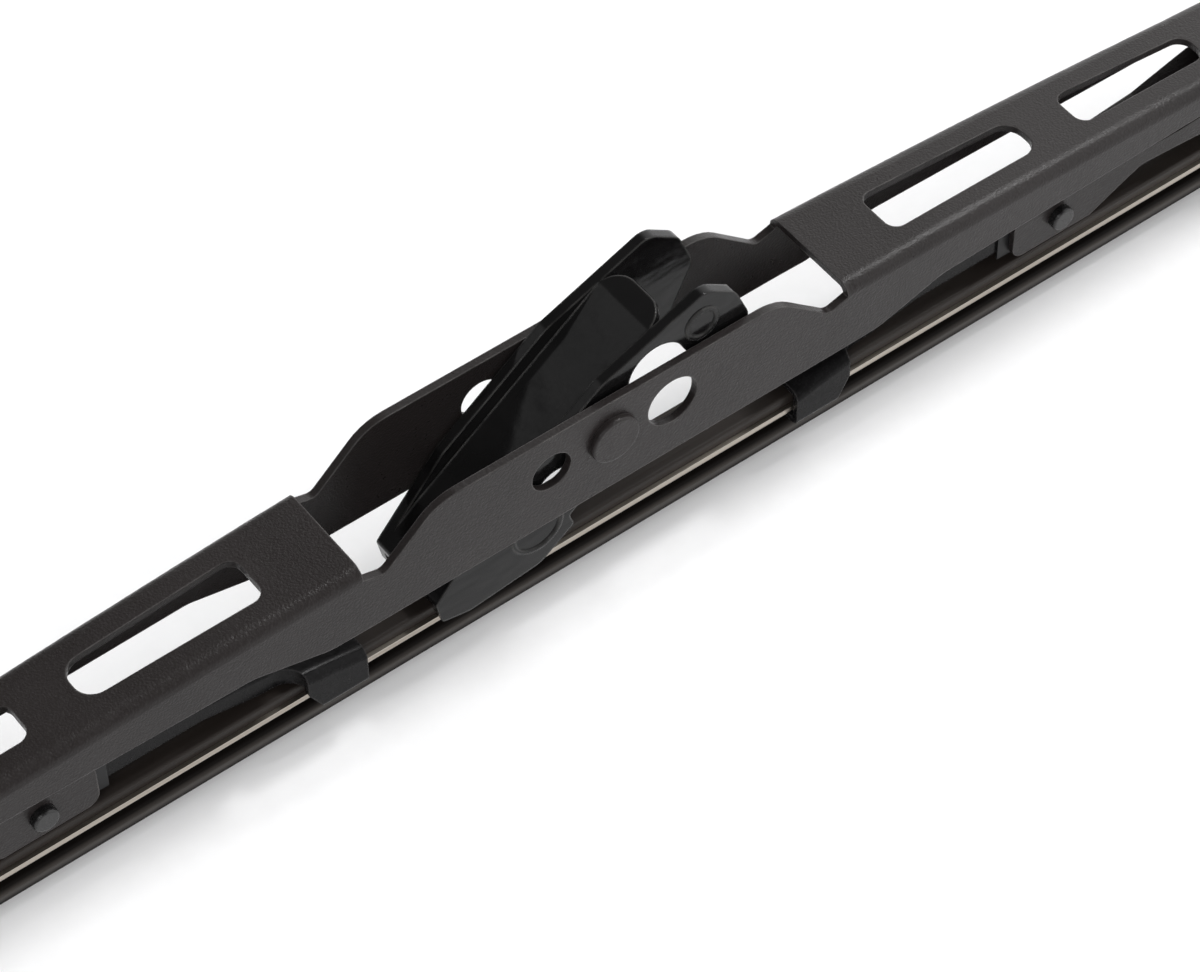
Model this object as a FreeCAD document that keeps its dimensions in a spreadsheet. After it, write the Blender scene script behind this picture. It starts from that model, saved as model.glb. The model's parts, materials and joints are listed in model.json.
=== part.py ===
import FreeCAD, Part
import Sketcher
import math
import os
import re
from FreeCAD import Placement, Rotation, Vector

# Wiper blade, 450 mm, six claws. Sizes in mm, x along the blade, y across it, z up.
# The origin is the middle of the cross rivet that carries the adapter clip.

doc = FreeCAD.newDocument("wiper_blade")
sheet = doc.addObject("Spreadsheet::Sheet", "Sheet")

SIZES = [
    # main bridge
    ("bridge_width", 17.0),
    ("bridge_plate", 1.2),
    ("bridge_bend", 2.0),
    ("bridge_crown", 2.67),
    ("bridge_bow", 1449.0),
    ("bridge_end_overhang", 6.5),
    ("bridge_taper_start", 40.0),
    ("bridge_taper_end", 110.0),
    ("bridge_end_width", 14.7),
    ("taper_blend", 150.0),
    ("middle_depth", 9.9),
    ("middle_depth_reach", 45.5),
    ("outer_depth", 6.9),
    ("outer_depth_start", 57.0),
    ("edge_blend", 6.0),
    ("hump_height", 6.85),
    ("hump_reach", 27.7),
    ("hump_blend", 8.0),
    ("dip_reach", 36.4),
    ("dip_depth", 0.85),
    ("dip_blend", 1.5),
    ("window_reach", 39.6),
    ("window_corner", 2.2),
    ("slot_inner_start", 51.3),
    ("slot_inner_end", 78.1),
    ("slot_inner_wide", 3.9),
    ("slot_inner_narrow", 3.3),
    ("slot_outer_start", 86.0),
    ("slot_outer_end", 110.0),
    ("slot_outer_wide", 3.3),
    ("slot_outer_narrow", 2.6),
    ("slot_corner", 1.9),
    ("slot_inner_flat", 0.4),
    ("slot_outer_flat", 0.3),
    ("hole_offset", 9.9),
    ("hole_small_radius", 3.14),
    ("hole_large_radius", 4.07),
    ("lobe_radius", 4.2),
    ("lobe_rise", 1.0),
    ("hump_clearance", 0.1),
    # how far a cutting shape runs past what it cuts
    ("hollow_overrun", 5.0),
    ("yoke_hollow_overrun", 3.0),
    ("cut_overlap", 1.0),
    # rivets
    ("running_clearance", 0.05),
    ("pivot_shaft", 2.6),
    ("pivot_head", 3.81),
    ("pivot_head_height", 1.0),
    ("head_edge", 0.35),
    ("lever_rivet_shaft", 1.8),
    ("lever_rivet_head", 3.0),
    ("lever_rivet_height", 0.9),
    ("yoke_rivet_shaft", 1.25),
    ("yoke_rivet_head", 1.9),
    ("yoke_rivet_height", 1.3),
    # where the lower assembly sits
    ("blade_shift", -2.5),
    ("lever_pivot_x", 127.5),
    ("lever_pivot_z", -12.0),
    ("yoke_pivot_x", 84.7),
    ("yoke_pivot_z", -15.1),
    ("lever_claw_x", 215.0),
    ("yoke_claw_reach", 43.9),
    # levers
    ("lever_plate", 1.0),
    ("lever_bend", 1.3),
    ("lever_crest_x", 130.0),
    ("lever_crest_z", -9.1),
    ("lever_bow", 531.6),
    ("lever_inner_x", 76.4),
    ("lever_inner_width", 8.4),
    ("lever_pivot_width", 11.4),
    ("lever_outer_width", 8.0),
    ("fork_top", -11.1),
    ("fork_bottom", -19.1),
    ("fork_bottom_end", 91.0),
    ("neck_bottom_x", 100.0),
    ("fork_opening", 106.0),
    ("lever_bottom", -14.1),
    ("lever_foot_x", 205.0),
    ("lever_foot_z", -18.9),
    ("lever_wide_end", 93.0),
    ("lever_level_start", 118.0),
    ("lever_level_end", 137.0),
    ("lever_narrow_start", 190.0),
    ("lever_arch_start", 117.0),
    ("fork_corner", 2.0),
    # yokes
    ("yoke_plate", 1.0),
    ("yoke_bend", 1.3),
    ("yoke_width", 5.6),
    ("yoke_crown", -12.3),
    ("yoke_bow", 237.6),
    ("yoke_bottom", -17.2),
    ("yoke_bottom_reach", 25.0),
    ("yoke_knee_x", 33.0),
    ("yoke_knee_z", -18.8),
    ("yoke_foot_x", 37.5),
    ("yoke_foot_z", -19.2),
    # claws
    ("claw_length", 9.3),
    ("claw_half_width", 5.95),
    ("claw_drop", 0.9),
    ("claw_shoulder", 1.6),
    ("claw_plate", 0.95),
    ("claw_bottom_z", -24.75),
    ("claw_curl", 1.1),
    ("claw_lip_y", 3.4),
    ("claw_notch_x", 2.9),
    ("claw_notch_z", -20.5),
    # liners
    ("liner_gap", 0.05),
    ("yoke_liner_length", 20.6),
    ("lever_liner_length", 15.0),
    ("liner_play", 0.6),
    ("liner_round", 0.4),
    # rubber and rails
    ("rubber_length", 450.0),
    ("rubber_head_top", -19.7),
    ("rubber_half_width", 4.1),
    ("rubber_head_round", 0.5),
    ("rail_z", -22.1),
    ("rail_height", 0.9),
    ("rail_inner_y", 2.05),
    ("rail_outer_y", 4.68),
    ("rail_length", 446.0),
    ("rail_gap", 0.05),
    ("rail_corner", 0.8),
    ("jaw_bottom", -23.7),
    ("neck_half", 0.7),
    ("wing_top", -27.6),
    ("wing_half_width", 3.0),
    ("wing_edge_drop", 0.5),
    ("wing_foot_drop", 1.7),
    ("lip_root_drop", 2.9),
    ("lip_root_step", 0.2),
    ("lip_half", 0.35),
    ("lip_bottom", -33.0),
    # adapter clip, in its own level frame
    ("clip_tilt", 36.5),
    ("clip_width", 13.8),
    ("clip_inner_width", 10.6),
    ("clip_floor_top", 5.0),
    ("clip_floor", 1.5),
    ("clip_floor_end", 17.3),
    ("clip_floor_corner", 3.6),
    ("clip_hub", 4.9),
    ("clip_floor_edge", 0.6),
    ("clip_dish_x", -24.0),
    ("clip_dish_far_x", -40.0),
    ("clip_dish_far_z", 3.6),
    ("clip_slot_x", 10.2),
    ("clip_slot_z", -0.5),
    ("clip_slot_radius", 4.6),
    ("clip_slot_foot_right", 12.4),
    ("clip_slot_foot_left", 0.0),
    ("clip_slot_foot_z", -16.0),
    ("clip_eye_radius", 3.3),
    ("clip_ring_rise", 0.25),
    ("clip_ring_wall", 0.6),
    ("clip_end_ring_x", 18.7),
    ("clip_end_ring_z", -1.5),
    ("clip_end_ring_radius", 2.7),
    ("clip_lobe_ring_x", -16.5),
    ("clip_lobe_ring_z", -3.0),
    ("clip_lobe_ring_radius", 4.2),
]

# Side view of the clip, level: each corner's x, z and rounding, from the nose over the top to the
# hooked end and back along the lower edge.
CLIP_CORNERS = [
    ("nose", -33.8, 0.1, 0.8),
    ("brow", -32.0, 3.9, 0.8),
    ("left_shoulder", -16.5, 7.4, 4.0),
    ("right_shoulder", 5.0, 7.4, 6.0),
    ("end_top", 22.7, 2.7, 3.0),
    ("end", 24.6, -3.0, 3.0),
    ("end_low", 23.0, -9.2, 3.0),
    ("hook_tip", 14.0, -14.0, 0.8),
    ("hub_right", 5.8, -9.0, 2.0),
    ("hub_left", -6.0, -7.0, 2.0),
    ("lobe_root", -12.9, -7.1, 0.7),
    ("lobe_heel", -13.6, -9.3, 0.8),
    ("lobe_low", -20.6, -9.3, 4.0),
    ("chin", -30.8, -3.3, 2.0),
]
for corner, x, z, rounding in CLIP_CORNERS:
    SIZES += [("clip_%s_x" % corner, x), ("clip_%s_z" % corner, z), ("clip_%s_round" % corner, rounding)]

NAMES = set()
for row, (name, number) in enumerate(SIZES, 1):
    sheet.set("A%d" % row, name)
    sheet.set("B%d" % row, str(number))
    sheet.setAlias("B%d" % row, name)
    NAMES.add(name)
doc.recompute()


def formula(text):
    """A formula in the names of the sheet, as FreeCAD reads it."""
    return re.sub(r"[a-z_]+", lambda m: "Sheet." + m.group(0) if m.group(0) in NAMES else m.group(0), str(text))


def number(text):
    return float(sheet.evalExpression(formula(text)))


def bind(thing, path, text):
    thing.setExpression(path, formula(text))


def new_body(name):
    body = doc.addObject("PartDesign::Body", name)
    body.Label = name
    return body


def new_sketch(body, plane, name, lift=None):
    """A sketch on an origin plane of its body, moved along the normal by lift."""
    sketch = body.newObject("Sketcher::SketchObject", name)
    for item in body.Origin.OriginFeatures:
        if item.Role == plane:
            sketch.AttachmentSupport = [(item, "")]
    sketch.MapMode = "FlatFace"
    if lift is not None:
        bind(sketch, "AttachmentOffset.Base.z", lift)
    return sketch


def fix_value(sketch, kind, where, text):
    index = sketch.addConstraint(Sketcher.Constraint(kind, *where, number(text)))
    sketch.setExpression("Constraints[%d]" % index, formula(text))


def fix_point(sketch, geo, pos, x, y):
    fix_value(sketch, "DistanceX", (geo, pos), x)
    fix_value(sketch, "DistanceY", (geo, pos), y)


def add_circle(sketch, x, y, radius):
    geo = sketch.addGeometry(Part.Circle(Vector(number(x), number(y), 0), Vector(0, 0, 1), number(radius)))
    fix_value(sketch, "Radius", (geo,), radius)
    fix_point(sketch, geo, 3, x, y)


def add_loop(sketch, corners, bows=None):
    """A closed outline. A corner is (x, y) or (x, y, rounding). bows gives the radius of the arc
    that runs from a corner to the next; a negative radius bulges to the other side."""
    bows = bows or {}
    count = len(corners)
    spots = [Vector(number(c[0]), number(c[1]), 0) for c in corners]
    radii = [number(c[2]) if len(c) > 2 else 0.0 for c in corners]
    enter, leave, centres = list(spots), list(spots), [None] * count
    for i in range(count):
        if radii[i] > 0:
            back = (spots[i - 1] - spots[i]).normalize()
            ahead = (spots[(i + 1) % count] - spots[i]).normalize()
            half = back.getAngle(ahead) / 2
            reach = radii[i] / math.tan(half)
            enter[i] = spots[i] + back * reach
            leave[i] = spots[i] + ahead * reach
            middle = (back + ahead).normalize()
            centres[i] = spots[i] + middle * (radii[i] / math.sin(half))
    pieces = []
    sides = []
    for i in range(count):
        j = (i + 1) % count
        if radii[i] > 0:
            pieces.append(add_arc(sketch, centres[i], enter[i], leave[i]))
            fix_value(sketch, "Radius", (pieces[-1][0],), corners[i][2])
        if i in bows:
            radius = number(bows[i])
            chord = spots[j] - spots[i]
            side = Vector(-chord.y, chord.x, 0).normalize()
            rise = math.sqrt(radius * radius - chord.Length ** 2 / 4)
            centre = (spots[i] + spots[j]) * 0.5 + side * math.copysign(rise, radius)
            pieces.append(add_arc(sketch, centre, spots[i], spots[j]))
            fix_value(sketch, "Radius", (pieces[-1][0],), "abs(%s)" % bows[i])
        else:
            pieces.append((sketch.addGeometry(Part.LineSegment(leave[i], enter[j])), 1, 2))
        sides.append(len(pieces) - 1)
    for k, piece in enumerate(pieces):
        after = pieces[(k + 1) % len(pieces)]
        straight = k in sides
        follows = (k + 1) % len(pieces) in sides
        kind = "Coincident" if straight and follows else "Tangent"
        sketch.addConstraint(Sketcher.Constraint(kind, piece[0], piece[2], after[0], after[1]))
    for i in range(count):
        side = pieces[sides[i]]
        if radii[i] > 0:
            point = sketch.addGeometry(Part.Point(spots[i]), True)
            before = pieces[sides[i - 1]]
            sketch.addConstraint(Sketcher.Constraint("PointOnObject", point, 1, side[0]))
            sketch.addConstraint(Sketcher.Constraint("PointOnObject", point, 1, before[0]))
            fix_point(sketch, point, 1, corners[i][0], corners[i][1])
        else:
            fix_point(sketch, side[0], side[1], corners[i][0], corners[i][1])


def add_arc(sketch, centre, start, end):
    """The short arc from start to end; returns its number and its first and last point."""
    a = math.atan2(start.y - centre.y, start.x - centre.x)
    b = math.atan2(end.y - centre.y, end.x - centre.x)
    circle = Part.Circle(centre, Vector(0, 0, 1), (start - centre).Length)
    if (b - a) % (2 * math.pi) < math.pi:
        return sketch.addGeometry(Part.ArcOfCircle(circle, a, b)), 1, 2
    return sketch.addGeometry(Part.ArcOfCircle(circle, b, a)), 2, 1


def pad(body, sketch, name, length):
    feature = body.newObject("PartDesign::Pad", name)
    feature.Profile = sketch
    feature.SideType = "Symmetric"
    bind(feature, "Length", length)
    return feature


def pocket(body, sketch, name, length=None):
    feature = body.newObject("PartDesign::Pocket", name)
    feature.Profile = sketch
    feature.SideType = "Symmetric"
    if length is None:
        feature.Type = "ThroughAll"
    else:
        bind(feature, "Length", length)
    return feature


def round_edges(body, name, radius, wanted):
    doc.recompute()
    base = body.Tip
    edges = ["Edge%d" % (i + 1) for i, edge in enumerate(base.Shape.Edges) if wanted(edge)]
    feature = body.newObject("PartDesign::Fillet", name)
    feature.Base = (base, edges)
    bind(feature, "Radius", radius)
    return feature


def cut_with(body, name, tool):
    feature = body.newObject("PartDesign::Boolean", name)
    feature.Type = "Cut"
    feature.setObjects([tool])
    return feature


def flip(corners, axis):
    """The same corners on the other side: axis 0 changes the sign of x, axis 1 that of y."""
    flipped = []
    for corner in corners:
        parts = list(corner)
        parts[axis] = "-(%s)" % parts[axis]
        flipped.append(tuple(parts))
    return flipped


def both_sides(corners, axis):
    """An outline closed by its own mirror image."""
    return corners + list(reversed(flip(corners, axis)))


# main bridge

BRIDGE_LEFT = "blade_shift - lever_pivot_x - bridge_end_overhang"
BRIDGE_RIGHT = "blade_shift + lever_pivot_x + bridge_end_overhang"


def bridge_top(x, drop):
    return "bridge_crown - (%s) - (%s) * (%s) / 2 / bridge_bow" % (drop, x, x)


def bridge_block(name, width_less, drop, reach, bend):
    """The arched block of the bridge, tapered in plan and rounded along its top edges."""
    body = new_body(name)
    left = "%s - (%s)" % (BRIDGE_LEFT, reach)
    right = "%s + (%s)" % (BRIDGE_RIGHT, reach)
    side = new_sketch(body, "XZ_Plane", name + "_side")
    low = "-2 * middle_depth"
    add_loop(side, [(left, low), (right, low), (right, bridge_top(right, drop)), (left, bridge_top(left, drop))],
             {2: "bridge_bow - (%s)" % drop})
    pad(body, side, name + "_pad", "bridge_width")
    plan = new_sketch(body, "XY_Plane", name + "_plan")
    wide = "bridge_width / 2 - (%s)" % width_less
    narrow = "bridge_end_width / 2 - (%s)" % width_less
    far = [(right, narrow), ("bridge_taper_end", narrow, "taper_blend"),
           ("bridge_taper_start", wide, "taper_blend"), ("-bridge_taper_start", wide, "taper_blend"),
           ("-bridge_taper_end", narrow, "taper_blend"), (left, narrow)]
    add_loop(plan, both_sides(far, 1))
    frame = "bridge_width"
    add_loop(plan, [("%s - %s" % (left, frame), "-%s" % frame), ("%s + %s" % (right, frame), "-%s" % frame),
                    ("%s + %s" % (right, frame), frame), ("%s - %s" % (left, frame), frame)])
    pocket(body, plan, name + "_taper")
    ends = number(bridge_top(left, drop)) - 0.01
    round_edges(body, name + "_bend", bend, lambda e: long_top_edge(e, ends))
    return body


def long_top_edge(edge, low):
    """Whether an edge runs along x above the height low."""
    ends = [vertex.Point for vertex in edge.Vertexes]
    return len(ends) == 2 and abs(ends[0].x - ends[1].x) > 1.0 and min(ends[0].z, ends[1].z) > low


bridge = bridge_block("main_bridge", "0", "0", "0", "bridge_bend")
hollow = bridge_block("bridge_hollow", "bridge_plate", "bridge_plate", "hollow_overrun", "bridge_bend - bridge_plate")
cut_at = new_sketch(bridge, "XZ_Plane", "hump_block_side")
add_loop(cut_at, [("-window_reach", "-2 * middle_depth"), ("window_reach", "-2 * middle_depth"),
                  ("window_reach", "0"), ("dip_reach", "hump_height"),
                  ("-dip_reach", "hump_height"), ("-window_reach", "0")])
pad(bridge, cut_at, "hump_block", "bridge_width")
cut_with(bridge, "bridge_channel", hollow)

window = new_sketch(bridge, "XY_Plane", "window_plan")
INNER = "bridge_width / 2 - bridge_plate"
add_loop(window, [("-window_reach", "-(%s)" % INNER, "window_corner"),
                  ("window_reach", "-(%s)" % INNER, "window_corner"),
                  ("window_reach", INNER, "window_corner"), ("-window_reach", INNER, "window_corner")])


def slot_corners(name):
    """A slot to the right of the middle, which narrows outwards to a nearly round end."""
    start, end = "slot_%s_start" % name, "slot_%s_end" % name
    wide, narrow = "slot_%s_wide" % name, "slot_%s_narrow" % name
    far = [(start, wide, "slot_corner"), (end, narrow, "%s - slot_%s_flat" % (narrow, name))]
    return list(reversed(flip(far, 1))) + far


for name in ("inner", "outer"):
    add_loop(window, slot_corners(name))
    add_loop(window, flip(slot_corners(name), 0))
pocket(bridge, window, "window_and_slots")

top = new_sketch(bridge, "XZ_Plane", "hump_side")
OUTSIDE_WINDOW = "window_reach + hump_clearance"
right_top = [(OUTSIDE_WINDOW, bridge_top("window_reach", "bridge_bend")), ("dip_reach", "-dip_depth", "dip_blend"),
             ("hump_reach", "hump_height", "hump_blend")]
ABOVE = "3 * hump_height"
add_loop(top, both_sides([(OUTSIDE_WINDOW, ABOVE)] + right_top, 0))
pocket(bridge, top, "hump_cut")

lower = new_sketch(bridge, "XZ_Plane", "lower_edge")
BELOW = "-3 * middle_depth"
RIGHT_PIVOT = "blade_shift + lever_pivot_x"
LEFT_PIVOT = "blade_shift - lever_pivot_x"
LOBE_RUN_IN = "2.2 * lobe_radius"
LOBE_START = "0.9 * lobe_radius"


def lower_corners(sign, pivot, end):
    """The lower edge of one arm, from the middle out to the lobe round its pivot."""
    lobe = "lever_pivot_z - lobe_radius + lobe_rise"
    return [("%s1 * middle_depth_reach" % sign, "-middle_depth", "edge_blend"),
            ("%s1 * outer_depth_start" % sign, "-outer_depth", "edge_blend"),
            ("%s - (%s1 * %s)" % (pivot, sign, LOBE_RUN_IN), "-outer_depth", "edge_blend"),
            ("%s - (%s1 * %s)" % (pivot, sign, LOBE_START), lobe, "lobe_radius / 2"),
            (end, lobe, "lobe_radius")]


def past_end(end, sign):
    outside = "%s + (%s1 * hollow_overrun)" % (end, sign)
    return [(end, "0"), (outside, "0"), (outside, BELOW)]


right_low = lower_corners("", RIGHT_PIVOT, BRIDGE_RIGHT) + past_end(BRIDGE_RIGHT, "")
left_low = lower_corners("-", LEFT_PIVOT, BRIDGE_LEFT) + past_end(BRIDGE_LEFT, "-")
add_loop(lower, right_low + list(reversed(left_low)))
pocket(bridge, lower, "lower_edge_cut")

holes = new_sketch(bridge, "XZ_Plane", "holes")
add_circle(holes, "0", "0", "pivot_shaft + running_clearance")
add_circle(holes, "-hole_offset", "0", "hole_small_radius")
add_circle(holes, "hole_offset", "0", "hole_large_radius")
add_circle(holes, RIGHT_PIVOT, "lever_pivot_z", "lever_rivet_shaft + running_clearance")
add_circle(holes, LEFT_PIVOT, "lever_pivot_z", "lever_rivet_shaft + running_clearance")
pocket(bridge, holes, "side_holes")
doc.recompute()


def claw_face(where, outward, reach):
    """The x of an end face of a claw: reach is 1 for the far end, -1 for the end by the pivot."""
    return "(%s) + (%s) * (%s) * claw_length / 2" % (where, outward, reach)


def add_arched(sketch, ends, low, arch, drop, bow):
    """An outline with an arched top that lies drop below the channel's own arch."""
    left, right = sorted(ends, key=number)
    add_loop(sketch, [(left, low), (right, low), (right, arch(right, drop)), (left, arch(left, drop))],
             {2: "%s - (%s)" % (bow, drop)})


def outer_edge(edge, half, low, below):
    """Whether an edge runs along x at the outer face of a claw, below or above the height low."""
    ends = [vertex.Point for vertex in edge.Vertexes]
    if len(ends) != 2 or abs(ends[0].x - ends[1].x) < 1.0:
        return False
    return min(abs(ends[0].y), abs(ends[1].y)) > half and (ends[0].z < low) == below


def claw_saddles(body, name, claws, arch, bow, edge_y):
    """Blocks as wide as the claws that follow the arch of the channel and run out to its flanges,
    which stand at edge_y, in a curve. Each claw is its tag, its middle and its sign outwards."""
    run_out = "claw_half_width - (%s)" % edge_y
    plan_corners = []
    for tag, where, outward in claws:
        face = claw_face(where, outward, "-1")
        start = "%s - (%s) * (%s)" % (face, outward, run_out)
        side = new_sketch(body, "XZ_Plane", "%s_%s_saddle" % (name, tag))
        add_arched(side, (start, claw_face(where, outward, "1")), "claw_bottom_z", arch, "claw_drop", bow)
        pad(body, side, "%s_%s_saddle_pad" % (name, tag), "2 * claw_half_width")
        before = "%s - (%s)" % (start, outward)
        corners = [(start, edge_y), (face, "claw_half_width"), (face, "2 * claw_half_width"),
                   (before, "2 * claw_half_width"), (before, edge_y)]
        plan_corners.append((corners, "(%s) * (%s)" % (outward, run_out)))
        plan_corners.append((flip(corners, 1), "-(%s) * (%s)" % (outward, run_out)))
    half = number("claw_half_width") - 0.01
    low = number("claw_bottom_z") + 0.01
    round_edges(body, name + "_shoulders", "claw_shoulder", lambda e: outer_edge(e, half, low, False))
    round_edges(body, name + "_curls", "claw_curl", lambda e: outer_edge(e, half, low, True))
    plan = new_sketch(body, "XY_Plane", name + "_run_out")
    for corners, radius in plan_corners:
        add_loop(plan, corners, {0: radius})
    pocket(body, plan, name + "_run_out_cut")


def claw_hooks(body, name, claws, arch, bow):
    """Hollows the saddles for the rubber, opens them below and cuts off the corner by the pivot."""
    hollow = new_sketch(body, "XZ_Plane", name + "_claw_hollow")
    slot = new_sketch(body, "XZ_Plane", name + "_claw_slot")
    notch = new_sketch(body, "XZ_Plane", name + "_claw_notch")
    below = "claw_bottom_z - claw_plate"
    for tag, where, outward in claws:
        face = claw_face(where, outward, "-1")
        past = "%s + (%s)" % (claw_face(where, outward, "1"), outward)
        add_arched(hollow, (face, past), "claw_bottom_z + claw_plate", arch, "claw_drop + claw_plate", bow)
        inside = "claw_bottom_z + 2 * claw_plate"
        add_loop(slot, [(face, below), (past, below), (past, inside), (face, inside)])
        before = "%s - (%s)" % (face, outward)
        foot = "%s + (%s) * claw_notch_x" % (face, outward)
        add_loop(notch, [(face, "claw_notch_z"), (foot, below), (before, below), (before, "claw_notch_z")])
    pocket(body, hollow, name + "_claw_hollow_cut", "2 * (claw_half_width - claw_plate)")
    pocket(body, slot, name + "_claw_slot_cut", "2 * claw_lip_y")
    pocket(body, notch, name + "_claw_notch_cut")


def add_frame(sketch, left, right, half):
    add_loop(sketch, [(left, "-(%s)" % half), (right, "-(%s)" % half), (right, half), (left, half)])


# levers

LEVER_CLAWS = [("tip", "lever_claw_x", "1")]
LEVER_END = claw_face("lever_claw_x", "1", "1")


def lever_top(x, drop):
    return "lever_crest_z - (%s) - ((%s) - lever_crest_x) * ((%s) - lever_crest_x) / 2 / lever_bow" % (drop, x, x)


def lever_block(name, less, drop, past, bend):
    """The arched block of a lever outside its neck, tapered in plan, and the plan sketch."""
    body = new_body(name)
    outer = "%s + (%s)" % (LEVER_END, past)
    start = "lever_arch_start"
    low = "claw_bottom_z"
    side = new_sketch(body, "XZ_Plane", name + "_side")
    add_loop(side, [(start, low), (outer, low), (outer, lever_top(outer, drop)), (start, lever_top(start, drop))],
             {2: "lever_bow - (%s)" % drop})
    pad(body, side, name + "_pad", "lever_inner_width + lever_pivot_width")
    plan = new_sketch(body, "XY_Plane", name + "_plan")
    inner = "lever_inner_x - (%s)" % past
    narrow = "lever_outer_width / 2 - (%s)" % less
    level = "lever_pivot_width / 2 - (%s)" % less
    wide = "lever_inner_width / 2 - (%s)" % less
    far = [(outer, narrow), ("lever_narrow_start", narrow, "taper_blend"), ("lever_level_end", level, "taper_blend"),
           ("lever_level_start", level, "taper_blend"), ("lever_wide_end", wide, "taper_blend"), (inner, wide)]
    add_loop(plan, both_sides(far, 1))
    add_frame(plan, "%s - lever_pivot_width" % inner, "%s + lever_pivot_width" % outer, "2 * lever_pivot_width")
    pocket(body, plan, name + "_taper")
    ends = number(lever_top(outer, drop)) - 0.01
    round_edges(body, name + "_bend", bend, lambda e: long_top_edge(e, ends))
    return body, plan


def make_lever(side):
    name = side + "_lever"
    body, plan = lever_block(name, "0", "0", "0", "lever_bend")
    hollow, hollow_plan = lever_block(name + "_hollow", "lever_plate", "lever_plate", "hollow_overrun",
                                      "lever_bend - lever_plate")
    fork = new_sketch(body, "XZ_Plane", name + "_fork")
    overlap = "lever_arch_start + cut_overlap"
    add_loop(fork, [("lever_inner_x", "fork_bottom", "fork_corner"), ("fork_bottom_end", "fork_bottom", "fork_corner"),
                    ("neck_bottom_x", "lever_bottom", "fork_corner"), (overlap, "lever_bottom"),
                    (overlap, lever_top(overlap, "0")), ("lever_arch_start", lever_top("lever_arch_start", "0")),
                    ("fork_opening", "fork_top", "fork_corner"), ("lever_inner_x", "fork_top", "fork_corner")])
    pad(body, fork, name + "_fork_pad", "lever_inner_width + lever_pivot_width")
    pocket(body, plan, name + "_fork_taper")
    gap = new_sketch(hollow, "XZ_Plane", name + "_fork_gap")
    before = "lever_inner_x - lever_plate"
    add_loop(gap, [(before, "claw_bottom_z"), (overlap, "claw_bottom_z"), (overlap, lever_top(overlap, "lever_plate")),
                   ("lever_arch_start", lever_top("lever_arch_start", "lever_plate")),
                   ("fork_opening", "fork_top - lever_plate"), ("fork_opening", "0"), (before, "0")])
    pad(hollow, gap, name + "_fork_gap_pad", "lever_inner_width + lever_pivot_width")
    pocket(hollow, hollow_plan, name + "_fork_gap_taper")
    claw_saddles(body, name, LEVER_CLAWS, lever_top, "lever_bow", "lever_outer_width / 2")
    cut_with(body, name + "_channel", hollow)
    lower = new_sketch(body, "XZ_Plane", name + "_lower_edge")
    claw_start = claw_face("lever_claw_x", "1", "-1")
    start = "lever_arch_start - cut_overlap"
    add_loop(lower, [(start, "lever_bottom"), ("lever_pivot_x", "lever_bottom"), ("lever_foot_x", "lever_foot_z"),
                     (claw_start, "lever_foot_z"), (claw_start, "2 * claw_bottom_z"), (start, "2 * claw_bottom_z")],
             {1: "-lever_bow"})
    pocket(body, lower, name + "_lower_cut")
    claw_hooks(body, name, LEVER_CLAWS, lever_top, "lever_bow")
    holes = new_sketch(body, "XZ_Plane", name + "_holes")
    add_circle(holes, "lever_pivot_x", "lever_pivot_z", "lever_rivet_shaft + running_clearance")
    add_circle(holes, "yoke_pivot_x", "yoke_pivot_z", "yoke_rivet_shaft + running_clearance")
    pocket(body, holes, name + "_rivet_holes")
    return body


# yokes, built round their own pivot

YOKE_CLAWS = [("outer", "yoke_claw_reach", "1"), ("inner", "-yoke_claw_reach", "-1")]
YOKE_END = claw_face("yoke_claw_reach", "1", "1")


def yoke_top(x, drop):
    return "yoke_crown - (%s) - (%s) * (%s) / 2 / yoke_bow" % (drop, x, x)


def yoke_block(name, less, drop, past, bend):
    body = new_body(name)
    end = "%s + (%s)" % (YOKE_END, past)
    side = new_sketch(body, "XZ_Plane", name + "_side")
    add_loop(side, [("-(%s)" % end, "claw_bottom_z"), (end, "claw_bottom_z"),
                    (end, yoke_top(end, drop)), ("-(%s)" % end, yoke_top(end, drop))],
             {2: "yoke_bow - (%s)" % drop})
    pad(body, side, name + "_pad", "yoke_width - 2 * (%s)" % less)
    ends = number(yoke_top(end, drop)) - 0.01
    round_edges(body, name + "_bend", bend, lambda e: long_top_edge(e, ends))
    return body


def make_yoke(side):
    name = side + "_yoke"
    body = yoke_block(name, "0", "0", "0", "yoke_bend")
    hollow = yoke_block(name + "_hollow", "yoke_plate", "yoke_plate", "yoke_hollow_overrun", "yoke_bend - yoke_plate")
    claw_saddles(body, name, YOKE_CLAWS, yoke_top, "yoke_bow", "yoke_width / 2")
    cut_with(body, name + "_channel", hollow)
    lower = new_sketch(body, "XZ_Plane", name + "_lower_edge")
    claw_start = claw_face("yoke_claw_reach", "1", "-1")
    right = [("yoke_bottom_reach", "yoke_bottom", "edge_blend"), ("yoke_knee_x", "yoke_knee_z"),
             ("yoke_foot_x", "yoke_foot_z"), (claw_start, "yoke_foot_z"), (claw_start, "2 * claw_bottom_z")]
    add_loop(lower, both_sides(right, 0))
    pocket(body, lower, name + "_lower_cut")
    claw_hooks(body, name, YOKE_CLAWS, yoke_top, "yoke_bow")
    holes = new_sketch(body, "XZ_Plane", name + "_hole")
    add_circle(holes, "0", "yoke_pivot_z", "yoke_rivet_shaft + running_clearance")
    pocket(body, holes, name + "_rivet_hole")
    return body


# rivets, each lying along y

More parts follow.
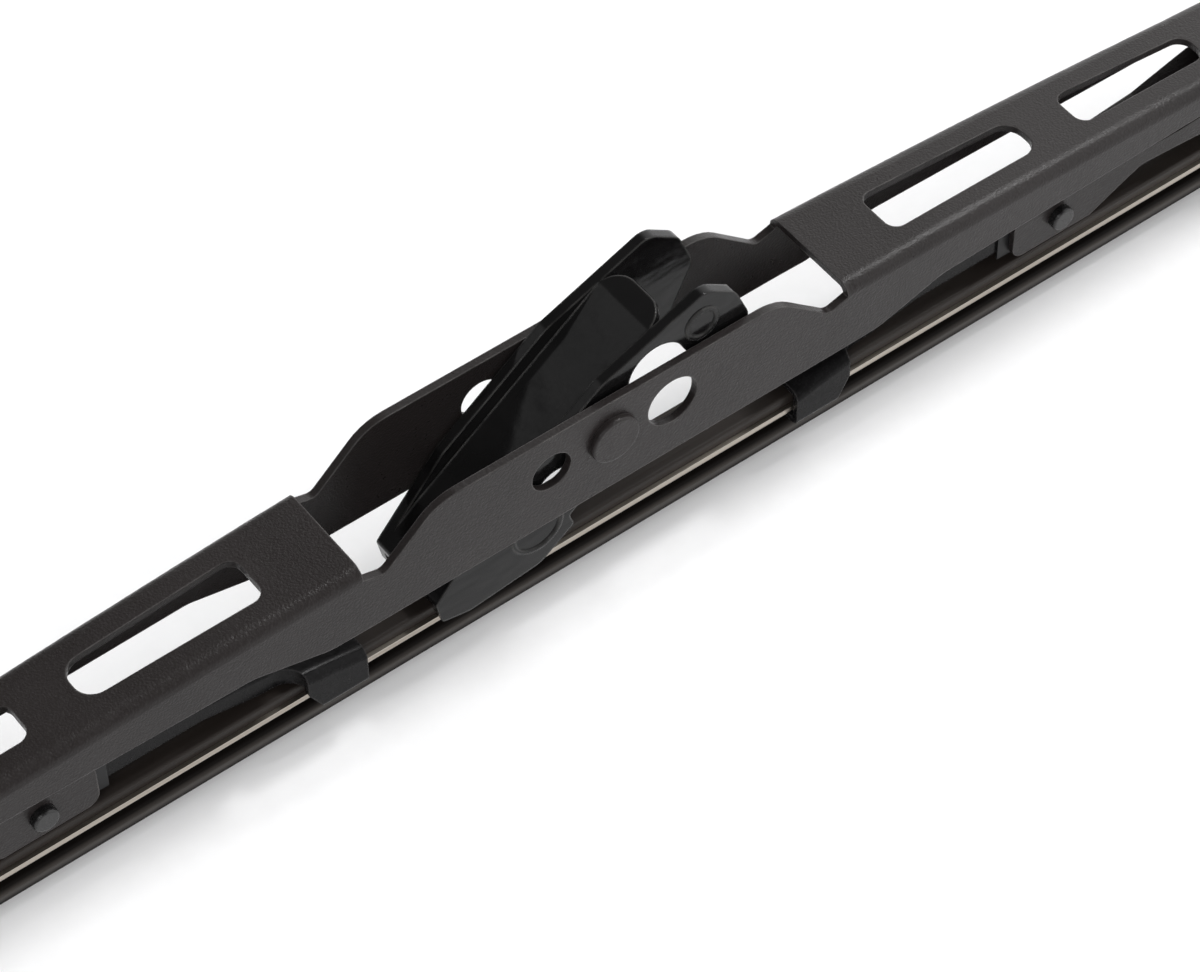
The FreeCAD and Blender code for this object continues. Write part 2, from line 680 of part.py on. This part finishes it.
def make_rivet(name, shaft, head, height, half):
    body = new_body(name)
    section = new_sketch(body, "XY_Plane", name + "_section")
    outer = "%s + %s" % (half, height)
    right = [("0", outer), (head, outer, "head_edge"), (head, half), (shaft, half)]
    add_loop(section, both_sides(right, 1))
    feature = body.newObject("PartDesign::Revolution", name + "_turned")
    feature.Profile = section
    feature.ReferenceAxis = (section, ["V_Axis"])
    feature.Angle = 360
    return body


# liners

def make_yoke_liner(side):
    """A thin U over the yoke, held inside the fork of the lever. Built round the yoke's pivot."""
    name = side + "_yoke_liner"
    body = new_body(name)
    inner = "yoke_width / 2 + liner_gap"
    outer = "lever_inner_width / 2 - lever_plate - liner_gap"
    section = new_sketch(body, "YZ_Plane", name + "_section")
    low = "fork_bottom + liner_play"
    under = "yoke_crown + liner_play"
    top = "%s + (%s) - (%s)" % (under, outer, inner)
    far = [(outer, top, "liner_round"), (outer, low), (inner, low), (inner, under)]
    add_loop(section, both_sides(far, 0))
    pad(body, section, name + "_pad", "yoke_liner_length")
    hole = new_sketch(body, "XZ_Plane", name + "_hole")
    add_circle(hole, "0", "yoke_pivot_z", "yoke_rivet_shaft + running_clearance")
    pocket(body, hole, name + "_rivet_hole")
    return body


def make_lever_liner(side):
    """A thin U between a lever and the end of the bridge, under the bridge's web."""
    name = side + "_lever_liner"
    sign = "1" if side == "right" else "-1"
    pivot = "blade_shift + (%s) * lever_pivot_x" % sign
    body = new_body(name)
    inner = "lever_pivot_width / 2 + liner_gap"
    outer = "bridge_end_width / 2 - bridge_plate - liner_gap"
    tail = "%s - (%s) * lever_liner_length / 2" % (pivot, sign)
    nose = "%s + (%s) * lever_liner_length / 3" % (pivot, sign)
    drop = "bridge_bend + liner_gap"
    under = "%s + (%s) - (%s)" % (drop, outer, inner)
    low = "lever_pivot_z - lever_rivet_shaft"
    block = new_sketch(body, "XZ_Plane", name + "_side")
    add_loop(block, [(nose, low), (nose, bridge_top(nose, drop)), (tail, bridge_top(tail, drop)), (tail, low)])
    pad(body, block, name + "_pad", "2 * (%s)" % outer)
    gap = new_sketch(body, "XZ_Plane", name + "_gap")
    past = "%s + (%s)" % (nose, sign)
    before = "%s - (%s)" % (tail, sign)
    below = low + " - cut_overlap"
    add_loop(gap, [(past, below), (past, bridge_top(past, under)), (before, bridge_top(before, under)), (before, below)])
    pocket(body, gap, name + "_gap_cut", "2 * (%s)" % inner)
    hole = new_sketch(body, "XZ_Plane", name + "_hole")
    add_circle(hole, pivot, "lever_pivot_z", "lever_rivet_shaft + running_clearance")
    pocket(body, hole, name + "_rivet_hole")
    return body


# rubber and rails, built round the middle of the rubber

def make_rubber():
    """One extrusion: head with a groove each side for the rails, jaws, neck, wing and tapered lip."""
    body = new_body("wiper_rubber")
    section = new_sketch(body, "YZ_Plane", "rubber_section")
    groove_top = "rail_z + (rail_height / 2 + rail_gap)"
    groove_bottom = "rail_z - (rail_height / 2 + rail_gap)"
    floor = "rail_inner_y - rail_gap"
    head = [("rubber_half_width", "rubber_head_top", "rubber_head_round"), ("rubber_half_width", groove_top),
            (floor, groove_top), (floor, groove_bottom), ("rubber_half_width", groove_bottom)]
    neck = [("rubber_half_width", "jaw_bottom"), ("neck_half", "jaw_bottom"), ("neck_half", "wing_top")]
    wing = [("wing_half_width", "wing_top - wing_edge_drop"), ("wing_half_width", "wing_top - wing_foot_drop"),
            ("neck_half + lip_root_step", "wing_top - lip_root_drop"), ("lip_half", "lip_bottom")]
    add_loop(section, both_sides(head + neck + wing, 0))
    pad(body, section, "rubber_pad", "rubber_length")
    return body


def make_rail(name, sign):
    body = new_body(name)
    plan = new_sketch(body, "XY_Plane", name + "_plan", "rail_z")
    inner = "(%s) * rail_inner_y" % sign
    outer = "(%s) * rail_outer_y" % sign
    end = "rail_length / 2"
    add_loop(plan, [("-" + end, inner), (end, inner), (end, outer, "rail_corner"), ("-" + end, outer, "rail_corner")])
    pad(body, plan, name + "_pad", "rail_height")
    return body


# adapter clip, built level, then tilted on its rivet

def add_ring(sketch, name):
    for radius in ("clip_%s_radius" % name, "clip_%s_radius - clip_ring_wall" % name):
        add_circle(sketch, "clip_%s_x" % name, "clip_%s_z" % name, radius)


def make_clip():
    body = new_body("adapter_clip")
    wall = new_sketch(body, "XZ_Plane", "clip_wall")
    add_loop(wall, [tuple("clip_%s_%s" % (row[0], part) for part in ("x", "z", "round")) for row in CLIP_CORNERS])
    pad(body, wall, "clip_block", "clip_width")
    rings = new_sketch(body, "XZ_Plane", "clip_rings")
    add_ring(rings, "end_ring")
    add_ring(rings, "lobe_ring")
    pad(body, rings, "clip_ring_pad", "clip_width + 2 * clip_ring_rise")
    far, low, high = "3 * clip_floor_end", "-3 * clip_floor_end", "3 * clip_floor_end"
    floor_line = [("clip_dish_far_x", "clip_dish_far_z"), ("clip_dish_x", "clip_floor_top", "edge_blend")]
    trough = new_sketch(body, "XZ_Plane", "clip_trough")
    add_loop(trough, floor_line + [("clip_floor_end", "clip_floor_top", "clip_floor_edge"), ("clip_floor_end", low),
                                   (far, low), (far, high), ("clip_dish_far_x", high)])
    pocket(body, trough, "clip_trough_cut", "clip_inner_width")
    under = new_sketch(body, "XZ_Plane", "clip_under")
    past_floor = "clip_floor_end + cut_overlap"
    underside = [(corner[0], corner[1] + " - clip_floor") + corner[2:] for corner in floor_line]
    add_loop(under, underside + [(past_floor, "clip_floor_top - clip_floor"), (past_floor, low),
                                 ("clip_dish_far_x", low)])
    pocket(body, under, "clip_under_cut", "clip_inner_width")
    plan = new_sketch(body, "XY_Plane", "clip_floor_plan")
    half = "clip_inner_width / 2"
    corner = [("clip_floor_end - clip_floor_corner", half), ("clip_floor_end", half + " - clip_floor_corner"),
              (past_floor, half + " - clip_floor_corner"), (past_floor, half)]
    add_loop(plan, corner, {0: "-clip_floor_corner"})
    add_loop(plan, flip(corner, 1), {0: "clip_floor_corner"})
    pocket(body, plan, "clip_floor_corner_cut")
    slot = new_sketch(body, "XZ_Plane", "clip_slot")
    add_loop(slot, [("clip_slot_x - clip_slot_radius", "clip_slot_z"), ("clip_slot_x + clip_slot_radius", "clip_slot_z"),
                    ("clip_slot_foot_right", "clip_slot_foot_z"), ("clip_slot_foot_left", "clip_slot_foot_z")])
    pocket(body, slot, "clip_slot_cut")
    eyes = new_sketch(body, "XZ_Plane", "clip_eyes")
    add_circle(eyes, "clip_slot_x", "clip_slot_z", "clip_slot_radius")
    add_circle(eyes, "-hole_offset", "0", "clip_eye_radius")
    pocket(body, eyes, "clip_eyes_cut")
    hub = new_sketch(body, "XZ_Plane", "clip_hub_side")
    add_circle(hub, "0", "0", "clip_hub")
    pad(body, hub, "clip_hub_pad", "clip_width")
    bore = new_sketch(body, "XZ_Plane", "clip_bore_side")
    add_circle(bore, "0", "0", "pivot_shaft + running_clearance")
    pocket(body, bore, "clip_bore")
    return body


def place(body, x, z, turned=False, tilt=None):
    if tilt is not None:
        body.Placement = Placement(Vector(0, 0, 0), Rotation(Vector(0, -1, 0), number(tilt)))
        bind(body, "Placement.Rotation.Angle", tilt)
        return
    body.Placement = Placement(Vector(0, 0, 0), Rotation(Vector(0, 0, 1), 180 if turned else 0))
    bind(body, "Placement.Base.x", x)
    bind(body, "Placement.Base.z", z)


nodes = {"main_bridge": bridge}
nodes["adapter_clip"] = make_clip()
place(nodes["adapter_clip"], "0", "0", tilt="clip_tilt")
nodes["pivot_rivet"] = make_rivet("pivot_rivet", "pivot_shaft", "pivot_head", "pivot_head_height", "bridge_width / 2")
for side, sign, turned in (("right", "1", False), ("left", "-1", True)):
    lever_x = "blade_shift + (%s) * lever_pivot_x" % sign
    yoke_x = "blade_shift + (%s) * yoke_pivot_x" % sign
    lever = make_lever(side)
    place(lever, "blade_shift", "0", turned)
    yoke = make_yoke(side)
    place(yoke, yoke_x, "0", turned)
    lever_rivet = make_rivet(side + "_lever_rivet", "lever_rivet_shaft", "lever_rivet_head", "lever_rivet_height",
                             "bridge_end_width / 2")
    place(lever_rivet, lever_x, "lever_pivot_z")
    yoke_rivet = make_rivet(side + "_yoke_rivet", "yoke_rivet_shaft", "yoke_rivet_head", "yoke_rivet_height",
                            "lever_inner_width / 2")
    place(yoke_rivet, yoke_x, "yoke_pivot_z")
    yoke_liner = make_yoke_liner(side)
    place(yoke_liner, yoke_x, "0", turned)
    nodes[side + "_lever_liner"] = make_lever_liner(side)
    for made in (lever, yoke, lever_rivet, yoke_rivet, yoke_liner):
        nodes[made.Label] = made
nodes["wiper_rubber"] = make_rubber()
nodes["near_rail"] = make_rail("near_rail", "-1")
nodes["far_rail"] = make_rail("far_rail", "1")
for name in ("wiper_rubber", "near_rail", "far_rail"):
    place(nodes[name], "blade_shift", "0")

doc.recompute()

for thing in doc.Objects:
    if "Invalid" in thing.State or "Error" in thing.State:
        raise RuntimeError("%s failed: %s" % (thing.Name, thing.State))
os.makedirs("parts", exist_ok=True)
for name, body in nodes.items():
    if body.Shape.isNull() or not body.Shape.isValid() or len(body.Shape.Solids) != 1:
        raise RuntimeError("%s has no sound single solid: %d" % (name, len(body.Shape.Solids)))
    body.Shape.exportStep("parts/%s.step" % name)
print(len(nodes), "nodes")
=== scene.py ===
import json
import math
import bmesh
import bpy
from mathutils import Matrix, Vector


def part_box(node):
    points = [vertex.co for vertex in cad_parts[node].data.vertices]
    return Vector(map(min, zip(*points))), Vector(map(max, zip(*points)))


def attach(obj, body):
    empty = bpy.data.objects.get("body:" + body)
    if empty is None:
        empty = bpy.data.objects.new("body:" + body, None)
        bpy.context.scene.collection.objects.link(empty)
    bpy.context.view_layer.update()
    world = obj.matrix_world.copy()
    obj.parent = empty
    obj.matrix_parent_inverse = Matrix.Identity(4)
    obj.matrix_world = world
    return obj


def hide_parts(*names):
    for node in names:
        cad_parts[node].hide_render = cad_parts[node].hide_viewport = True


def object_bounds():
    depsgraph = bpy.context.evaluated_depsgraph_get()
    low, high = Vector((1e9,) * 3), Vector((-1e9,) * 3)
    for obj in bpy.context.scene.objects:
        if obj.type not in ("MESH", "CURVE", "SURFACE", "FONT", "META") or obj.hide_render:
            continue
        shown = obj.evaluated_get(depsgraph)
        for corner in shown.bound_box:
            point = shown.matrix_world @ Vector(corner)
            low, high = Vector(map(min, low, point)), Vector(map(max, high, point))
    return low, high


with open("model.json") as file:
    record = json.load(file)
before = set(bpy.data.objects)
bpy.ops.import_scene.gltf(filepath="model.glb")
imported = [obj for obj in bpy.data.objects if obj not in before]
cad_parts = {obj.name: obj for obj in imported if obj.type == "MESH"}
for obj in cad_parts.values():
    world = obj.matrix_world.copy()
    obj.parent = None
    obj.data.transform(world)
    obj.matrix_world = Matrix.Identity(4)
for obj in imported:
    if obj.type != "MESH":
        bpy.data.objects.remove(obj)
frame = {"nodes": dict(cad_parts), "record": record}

cad_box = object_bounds()
nodes = frame["nodes"]
scene = bpy.context.scene
MM = 0.001
WHITE = (1.0, 1.0, 1.0)

# where most values of a noise lie
NOISE_LOW, NOISE_HIGH = 0.3, 0.7
# where the soft patches of a noise rise
PATCH_LOW, PATCH_HIGH = 0.35, 0.6


# Materials, built from small helpers

class Nodes:
    """Short ways to add nodes to a material or a world and to join them."""

    def __init__(self, owner, coordinates="Object"):
        self.owner = owner
        self.tree = owner.node_tree
        self.place = self.add("ShaderNodeTexCoord").outputs[coordinates]

    def put(self, socket, value):
        """Joins an input to an output, or sets it to a value or a colour."""
        if isinstance(value, bpy.types.NodeSocket):
            self.tree.links.new(value, socket)
        elif socket.type == "RGBA":
            socket.default_value = (*value, 1.0)
        else:
            socket.default_value = value

    def add(self, kind, inputs=None, **settings):
        node = self.tree.nodes.new(kind)
        for key, value in settings.items():
            setattr(node, key, value)
        for key, value in (inputs or {}).items():
            self.put(node.inputs[key], value)
        return node

    def noise(self, scale, detail=3.0, roughness=0.55, stretch=None):
        """A noise of that scale, or one that is drawn out along an axis with a small stretch."""
        vector = self.place
        if stretch:
            vector = self.add("ShaderNodeMapping", {"Vector": vector, "Scale": stretch}).outputs["Vector"]
        inputs = {"Vector": vector, "Scale": scale, "Detail": detail, "Roughness": roughness}
        return self.add("ShaderNodeTexNoise", inputs).outputs["Fac"]

    def ramp(self, value, low, high, start=0.0, end=1.0):
        inputs = {"Value": value, "From Min": low, "From Max": high, "To Min": start, "To Max": end}
        return self.add("ShaderNodeMapRange", inputs).outputs["Result"]

    def spread(self, noise, start=0.0, end=1.0):
        """A noise turned into a range of values."""
        return self.ramp(noise, NOISE_LOW, NOISE_HIGH, start, end)

    def patches(self, scale, least):
        """Soft patches of 1 on a ground of the least value."""
        return self.ramp(self.noise(scale), PATCH_LOW, PATCH_HIGH, least, 1.0)

    def mix(self, factor, first, second):
        """A blend of two colours, which a mix node keeps in inputs 6 and 7 and in output 2."""
        inputs = {0: factor, 6: first, 7: second}
        return self.add("ShaderNodeMix", inputs, data_type="RGBA").outputs[2]

    def times(self, first, second):
        inputs = {0: first, 1: second}
        return self.add("ShaderNodeMath", inputs, operation="MULTIPLY").outputs["Value"]

    def dot(self, first, second):
        inputs = {0: first, 1: second}
        return self.add("ShaderNodeVectorMath", inputs, operation="DOT_PRODUCT").outputs["Value"]

    def height(self):
        return self.add("ShaderNodeSeparateXYZ", {0: self.place}).outputs["Z"]

    def bump(self, height, strength, distance, under=None):
        inputs = {"Height": height, "Strength": strength, "Distance": distance}
        if under is not None:
            inputs["Normal"] = under
        return self.add("ShaderNodeBump", inputs).outputs["Normal"]

    def soft_edges(self, radius):
        """The normal of a surface whose sharp edges are broken by a small radius."""
        return self.add("ShaderNodeBevel", {"Radius": radius}, samples=4).outputs["Normal"]

    def edge_mask(self, softened, start=0.04, full=0.22):
        """1 on edges and 0 on faces, by how far the softened normal turns from the true one."""
        true_normal = self.add("ShaderNodeNewGeometry").outputs["Normal"]
        return self.ramp(self.dot(softened, true_normal), 1.0 - start, 1.0 - full)

    def finish(self, colour, roughness, specular, normal=None, metallic=0.0):
        shader = self.tree.nodes["Principled BSDF"]
        values = {"Base Color": colour, "Roughness": roughness, "Metallic": metallic,
                  "Specular IOR Level": specular}
        if normal is not None:
            values["Normal"] = normal
        for key, value in values.items():
            self.put(shader.inputs[key], value)
        return self.owner


def new_material(name):
    material = bpy.data.materials.new(name)
    material.use_nodes = True
    return Nodes(material)


def coated_steel(name):
    """Black powder coat on sheet: warm and dark, pebbled, its edges softly broken, with painted
    highlights in patches along the edges and on the raised points of the grain.
    """
    dark, light = (0.0118, 0.0097, 0.0094), (0.0172, 0.0145, 0.0142)
    grain_peak_highlight, edge_highlight_tone = (0.027, 0.024, 0.024), (0.115, 0.108, 0.106)
    n = new_material(name)
    grain = n.noise(scale=3000.0, detail=2.0, roughness=0.5)
    cloud = n.noise(scale=45.0)
    sheen = n.noise(scale=900.0)
    softened = n.soft_edges(radius=0.35 * MM)
    # Painted highlight: a lighter tone in patches along the edges, where the coat catches light.
    edge_highlight_patches = n.times(n.edge_mask(softened), n.patches(scale=220.0, least=0.35))
    colour = n.mix(n.spread(cloud), dark, light)
    # Painted highlight: the raised points of the grain get a lighter tone.
    colour = n.mix(n.ramp(grain, low=0.5, high=0.75, end=0.4), colour, grain_peak_highlight)
    colour = n.mix(edge_highlight_patches, colour, edge_highlight_tone)
    roughness = n.spread(sheen, start=0.27, end=0.37)
    normal = n.bump(grain, strength=0.5, distance=0.13 * MM, under=softened)
    return n.finish(colour, roughness, specular=0.19, normal=normal)


def smooth_coat(name, specular):
    """The thinner, glossier black of the yokes and the small rivets, with a painted highlight on its
    edges.
    """
    dark, light, edge_highlight = (0.0050, 0.0048, 0.0050), (0.0085, 0.0082, 0.0085), (0.050, 0.048, 0.048)
    n = new_material(name)
    grain = n.noise(scale=1100.0, detail=2.0, roughness=0.5)
    softened = n.soft_edges(radius=0.4 * MM)
    # Painted highlight: a lighter tone on the edges.
    colour = n.mix(n.edge_mask(softened), n.mix(n.spread(grain), dark, light), edge_highlight)
    normal = n.bump(grain, strength=0.15, distance=0.06 * MM, under=softened)
    roughness = n.spread(grain, start=0.22, end=0.30)
    return n.finish(colour, roughness, specular=specular, normal=normal)


def clip_plastic():
    """Glossy black moulded plastic with a hint of flow in the surface and a painted highlight in patches
    along its edges.
    """
    dark, light, edge_highlight = (0.0035, 0.0034, 0.0035), (0.0060, 0.0058, 0.0059), (0.075, 0.073, 0.070)
    n = new_material("clip_plastic")
    flow = n.noise(scale=90.0, detail=2.0, stretch=(1.0, 1.0, 2.2))
    fine = n.noise(scale=1500.0)
    softened = n.soft_edges(radius=0.5 * MM)
    # Painted highlight: a lighter tone in patches along the edges.
    edge_highlights = n.times(n.edge_mask(softened, start=0.03, full=0.25), n.patches(scale=160.0, least=0.25))
    colour = n.mix(edge_highlights, n.mix(n.spread(flow), dark, light), edge_highlight)
    fine_normal = n.bump(fine, strength=0.08, distance=0.05 * MM, under=softened)
    normal = n.bump(flow, strength=0.3, distance=0.5 * MM, under=fine_normal)
    roughness = n.spread(fine, start=0.10, end=0.17)
    return n.finish(colour, roughness, specular=0.16, normal=normal)


def liner_plastic():
    """Dark grey plastic, even and not quite matt."""
    dark, light = (0.006, 0.006, 0.0065), (0.010, 0.010, 0.0105)
    n = new_material("liner_plastic")
    fine = n.noise(scale=1200.0)
    colour = n.mix(n.spread(fine), dark, light)
    roughness = n.spread(fine, start=0.35, end=0.45)
    normal = n.bump(fine, strength=0.1, distance=0.05 * MM)
    return n.finish(colour, roughness, specular=0.2, normal=normal)


def rubber():
    """Extruded rubber: fine lines and a brownish bloom, with painted shade below the jaws down to the lip
    and a painted highlight band on the wing, broken by the lines.
    """
    dark, bloomed = (0.0130, 0.0100, 0.0084), (0.0245, 0.0198, 0.0172)
    painted_shade, band_highlight = (0.0062, 0.0052, 0.0046), (0.042, 0.0355, 0.031)
    jaw_foot, jaw_fade = -23.8 * MM, 0.3 * MM
    band_top, top_fade = -27.1 * MM, 0.35 * MM
    band_foot, foot_fade = -28.5 * MM, 0.4 * MM
    n = new_material("rubber")
    lines = n.noise(scale=2600.0, stretch=(0.01, 1.0, 1.0))
    bloom = n.noise(scale=120.0, stretch=(0.25, 1.0, 1.0))
    height = n.height()
    # Below the jaws, where the painted shade goes.
    shade_below_jaw = n.ramp(height, jaw_foot, jaw_foot - jaw_fade)
    above_foot = n.ramp(height, band_foot - foot_fade, band_foot + foot_fade)
    below_top = n.ramp(height, band_top + top_fade, band_top - top_fade)
    # The height band of the painted highlight on the wing.
    highlight_band = n.times(above_foot, below_top)
    colour = n.mix(n.spread(bloom), dark, bloomed)
    # Painted shade below the jaws and at the foot of the wing.
    colour = n.mix(shade_below_jaw, colour, painted_shade)
    # Painted highlight: a lighter tone in the band on the wing, broken by the fine lines.
    colour = n.mix(n.times(highlight_band, n.spread(lines, start=0.5)), colour, band_highlight)
    off_band = n.ramp(highlight_band, low=0.0, high=1.0, start=1.0, end=0.0)
    # The specular falls from 0.17 to 0.04 where the painted shade lies.
    specular = n.ramp(n.times(shade_below_jaw, off_band), low=0.0, high=1.0, start=0.17, end=0.04)
    roughness = n.spread(lines, start=0.34, end=0.52)
    normal = n.bump(lines, strength=0.3, distance=0.08 * MM)
    return n.finish(colour, roughness, specular=specular, normal=normal)


def rail_steel():
    """Rolled spring steel with fine lines along it."""
    dark, light = (0.33, 0.29, 0.25), (0.46, 0.42, 0.37)
    n = new_material("rail_steel")
    lines = n.noise(scale=4200.0, detail=2.0, stretch=(0.004, 1.0, 1.0))
    colour = n.mix(n.spread(lines), dark, light)
    roughness = n.spread(lines, start=0.28, end=0.42)
    normal = n.bump(lines, strength=0.2, distance=0.03 * MM)
    return n.finish(colour, roughness, specular=0.5, normal=normal, metallic=1.0)


MATERIALS = {
    "coated_steel": coated_steel("coated_steel"),
    "rivet_steel": coated_steel("rivet_steel"),
    "clip_plastic": clip_plastic(),
    "liner_plastic": liner_plastic(),
    "rubber": rubber(),
    "rail_steel": rail_steel(),
}
YOKE_COAT = smooth_coat("yoke_coat", specular=0.07)
RIVET_COAT = smooth_coat("small_rivet_coat", specular=0.4)


def finish_of(part):
    """A part's material: yokes and small rivets have their own coats, and the rest goes by slot."""
    if part["node"].endswith("_yoke"):
        return YOKE_COAT
    if part["node"].endswith("_yoke_rivet"):
        return RIVET_COAT
    return MATERIALS[part["material_slot"]]


for part in frame["record"]["subparts"]:
    mesh = nodes[part["node"]].data
    if not mesh.materials:
        mesh.materials.append(None)
    for index in range(len(mesh.materials)):
        mesh.materials[index] = finish_of(part)


# The rubber, one extrusion with the rounded wing that the CAD solid only has in outline

ARC_STEPS = 6
SHARE_OF_SIDE = 0.49
SHARP_FROM = math.radians(28.0)


def rounded(corners):
    """A line of corners (y, z, radius), each replaced by points on its arc unless its radius is 0."""
    line = []
    for index, (y, z, radius) in enumerate(corners):
        here = Vector((y, z))
        if radius == 0.0:
            line.append(here)
            continue
        before = Vector(corners[index - 1][:2]) - here
        after = Vector(corners[index + 1][:2]) - here
        half_angle = before.angle(after) / 2
        longest = SHARE_OF_SIDE * min(before.length, after.length)
        reach = min(radius / math.tan(half_angle), longest)
        start, end = here + before.normalized() * reach, here + after.normalized() * reach
        for step in range(ARC_STEPS + 1):
            t = step / ARC_STEPS
            line.append((1 - t) ** 2 * start + 2 * t * (1 - t) * here + t ** 2 * end)
    return line


def rubber_section(lip_foot):
    """Half of the section in mm, from the top of the head down to the lip."""
    head_top, groove_top, groove_foot, jaw_foot = -19.7, -21.6, -22.6, -23.7
    wing_root, wing_top, wing_side, wing_foot, lip_root = -25.9, -26.5, -27.4, -29.5, -30.4
    head_half, groove_half, neck_half = 4.1, 2.0, 0.7
    wing_top_half, wing_half, wing_foot_half, lip_root_half, lip_half = 3.15, 3.65, 3.4, 0.9, 0.35
    head_round, mouth_round, groove_round, jaw_round, neck_round = 0.5, 0.12, 0.1, 0.25, 0.3
    root_round, wing_top_round, wing_round, wing_foot_round, lip_root_round = 0.4, 0.6, 0.9, 0.7, 0.5
    head = [(0.0, head_top, 0.0), (head_half, head_top, head_round)]
    groove = [(head_half, groove_top, mouth_round), (groove_half, groove_top, groove_round),
              (groove_half, groove_foot, groove_round), (head_half, groove_foot, mouth_round)]
    neck = [(head_half, jaw_foot, jaw_round), (neck_half, jaw_foot, neck_round),
            (neck_half, wing_root, root_round)]
    wing = [(wing_top_half, wing_top, wing_top_round), (wing_half, wing_side, wing_round),
            (wing_foot_half, wing_foot, wing_foot_round)]
    lip = [(lip_root_half, lip_root, lip_root_round), (lip_half, lip_foot, 0.0)]
    return rounded(head + groove + neck + wing + lip)


def add_rubber():
    """The strip that is seen in the place of wiper_rubber, with the same length and lip."""
    low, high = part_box("wiper_rubber")
    section = [Vector((p.x * MM, p.y * MM)) for p in rubber_section(low[2] / MM)]
    ring = section + [Vector((-p.x, p.y)) for p in reversed(section) if p.x > 0.0]
    count = len(ring)
    points = [(x, p.x, p.y) for x in (low[0], high[0]) for p in ring]
    left_end, right_end = tuple(reversed(range(count))), tuple(range(count, 2 * count))
    sides = [(i, (i + 1) % count, count + (i + 1) % count, count + i) for i in range(count)]
    mesh = bpy.data.meshes.new("rubber_strip")
    mesh.from_pydata(points, [], [left_end, *sides, right_end])
    mesh.validate()
    trim = bmesh.new()
    trim.from_mesh(mesh)
    bmesh.ops.recalc_face_normals(trim, faces=trim.faces)
    trim.to_mesh(mesh)
    trim.free()
    mesh.shade_smooth()
    mesh.set_sharp_from_angle(angle=SHARP_FROM)
    mesh.materials.append(MATERIALS["rubber"])
    strip = bpy.data.objects.new("rubber_strip", mesh)
    scene.collection.objects.link(strip)
    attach(strip, "bridge")
    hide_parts("wiper_rubber")


add_rubber()


# Floor, light and camera

def add_floor():
    """White paper just under the lip."""
    reach, gap = 3.0, 0.3 * MM
    height = cad_box[0][2] - gap
    dark, light = (0.93, 0.93, 0.935), (0.95, 0.95, 0.955)
    corners = [(x * reach, y * reach, height) for x, y in ((-1, -1), (1, -1), (1, 1), (-1, 1))]
    mesh = bpy.data.meshes.new("floor")
    mesh.from_pydata(corners, [], [(0, 1, 2, 3)])
    floor = bpy.data.objects.new("floor", mesh)
    scene.collection.objects.link(floor)
    n = new_material("floor_paper")
    colour = n.mix(n.spread(n.noise(scale=300.0)), dark, light)
    mesh.materials.append(n.finish(colour, roughness=0.9, specular=0.1))


def add_lamp(name, place, size, watts):
    """A rectangular lamp that faces the origin."""
    lamp = bpy.data.lights.new(name, "AREA")
    lamp.shape = "RECTANGLE"
    lamp.size, lamp.size_y = size
    lamp.energy = watts
    thing = bpy.data.objects.new(name, lamp)
    scene.collection.objects.link(thing)
    thing.location = place
    thing.rotation_euler = (-Vector(place)).to_track_quat("-Z", "Y").to_euler()


def add_world():
    """White to the camera, and as light a sky that grows brighter towards +X."""
    dim_from, bright_from = 0.24, 0.55
    dim, bright = 0.24, 2.15
    towards_x = (1.0, 0.0, 0.0)
    world = bpy.data.worlds.new("studio")
    scene.world = world
    world.use_nodes = True
    world.node_tree.nodes.clear()
    n = Nodes(world, "Generated")
    strength = n.ramp(n.dot(n.place, towards_x), dim_from, bright_from, dim, bright)
    light = n.add("ShaderNodeBackground", {"Color": WHITE, "Strength": strength})
    shown = n.add("ShaderNodeBackground", {"Color": WHITE, "Strength": 1.0})
    camera_ray = n.add("ShaderNodeLightPath").outputs["Is Camera Ray"]
    both = n.add("ShaderNodeMixShader", {0: camera_ray, 1: light.outputs[0], 2: shown.outputs[0]})
    n.add("ShaderNodeOutputWorld", {"Surface": both.outputs[0]})


def add_camera():
    """The photograph's view: heading from +Y towards +X, pitch down and a small roll."""
    heading, pitch, roll = math.radians(36.13), math.radians(50.73), math.radians(-1.1)
    place = Vector((-205.68, -287.21, 413.43)) * MM
    sensor_width, focal_length = 36.0, 123.73
    nearest, farthest = 0.01, 20.0
    level = math.cos(pitch)
    ahead = Vector((math.sin(heading) * level, math.cos(heading) * level, -math.sin(pitch)))
    right = Vector((math.cos(heading), -math.sin(heading), 0.0))
    up = right.cross(ahead)
    turned_right = math.cos(roll) * right + math.sin(roll) * up
    turned_up = -math.sin(roll) * right + math.cos(roll) * up
    data = bpy.data.cameras.new("camera")
    data.sensor_width = sensor_width
    data.lens = focal_length
    data.clip_start, data.clip_end = nearest, farthest
    camera = bpy.data.objects.new("camera", data)
    scene.collection.objects.link(camera)
    turn = Matrix((turned_right, turned_up, -ahead)).transposed()
    camera.matrix_world = Matrix.Translation(place) @ turn.to_4x4()
    scene.camera = camera


add_floor()
add_world()
add_lamp("key", place=(-0.95, -0.85, 0.95), size=(1.0, 0.8), watts=11.4)
add_lamp("strip", place=(0.68, -0.1, 1.1), size=(0.4, 0.10), watts=7.9)
add_lamp("clip_fill", place=(-0.66, 0.636, 0.774), size=(0.3, 0.3), watts=0.27)
add_camera()
scene.view_settings.view_transform = "Standard"
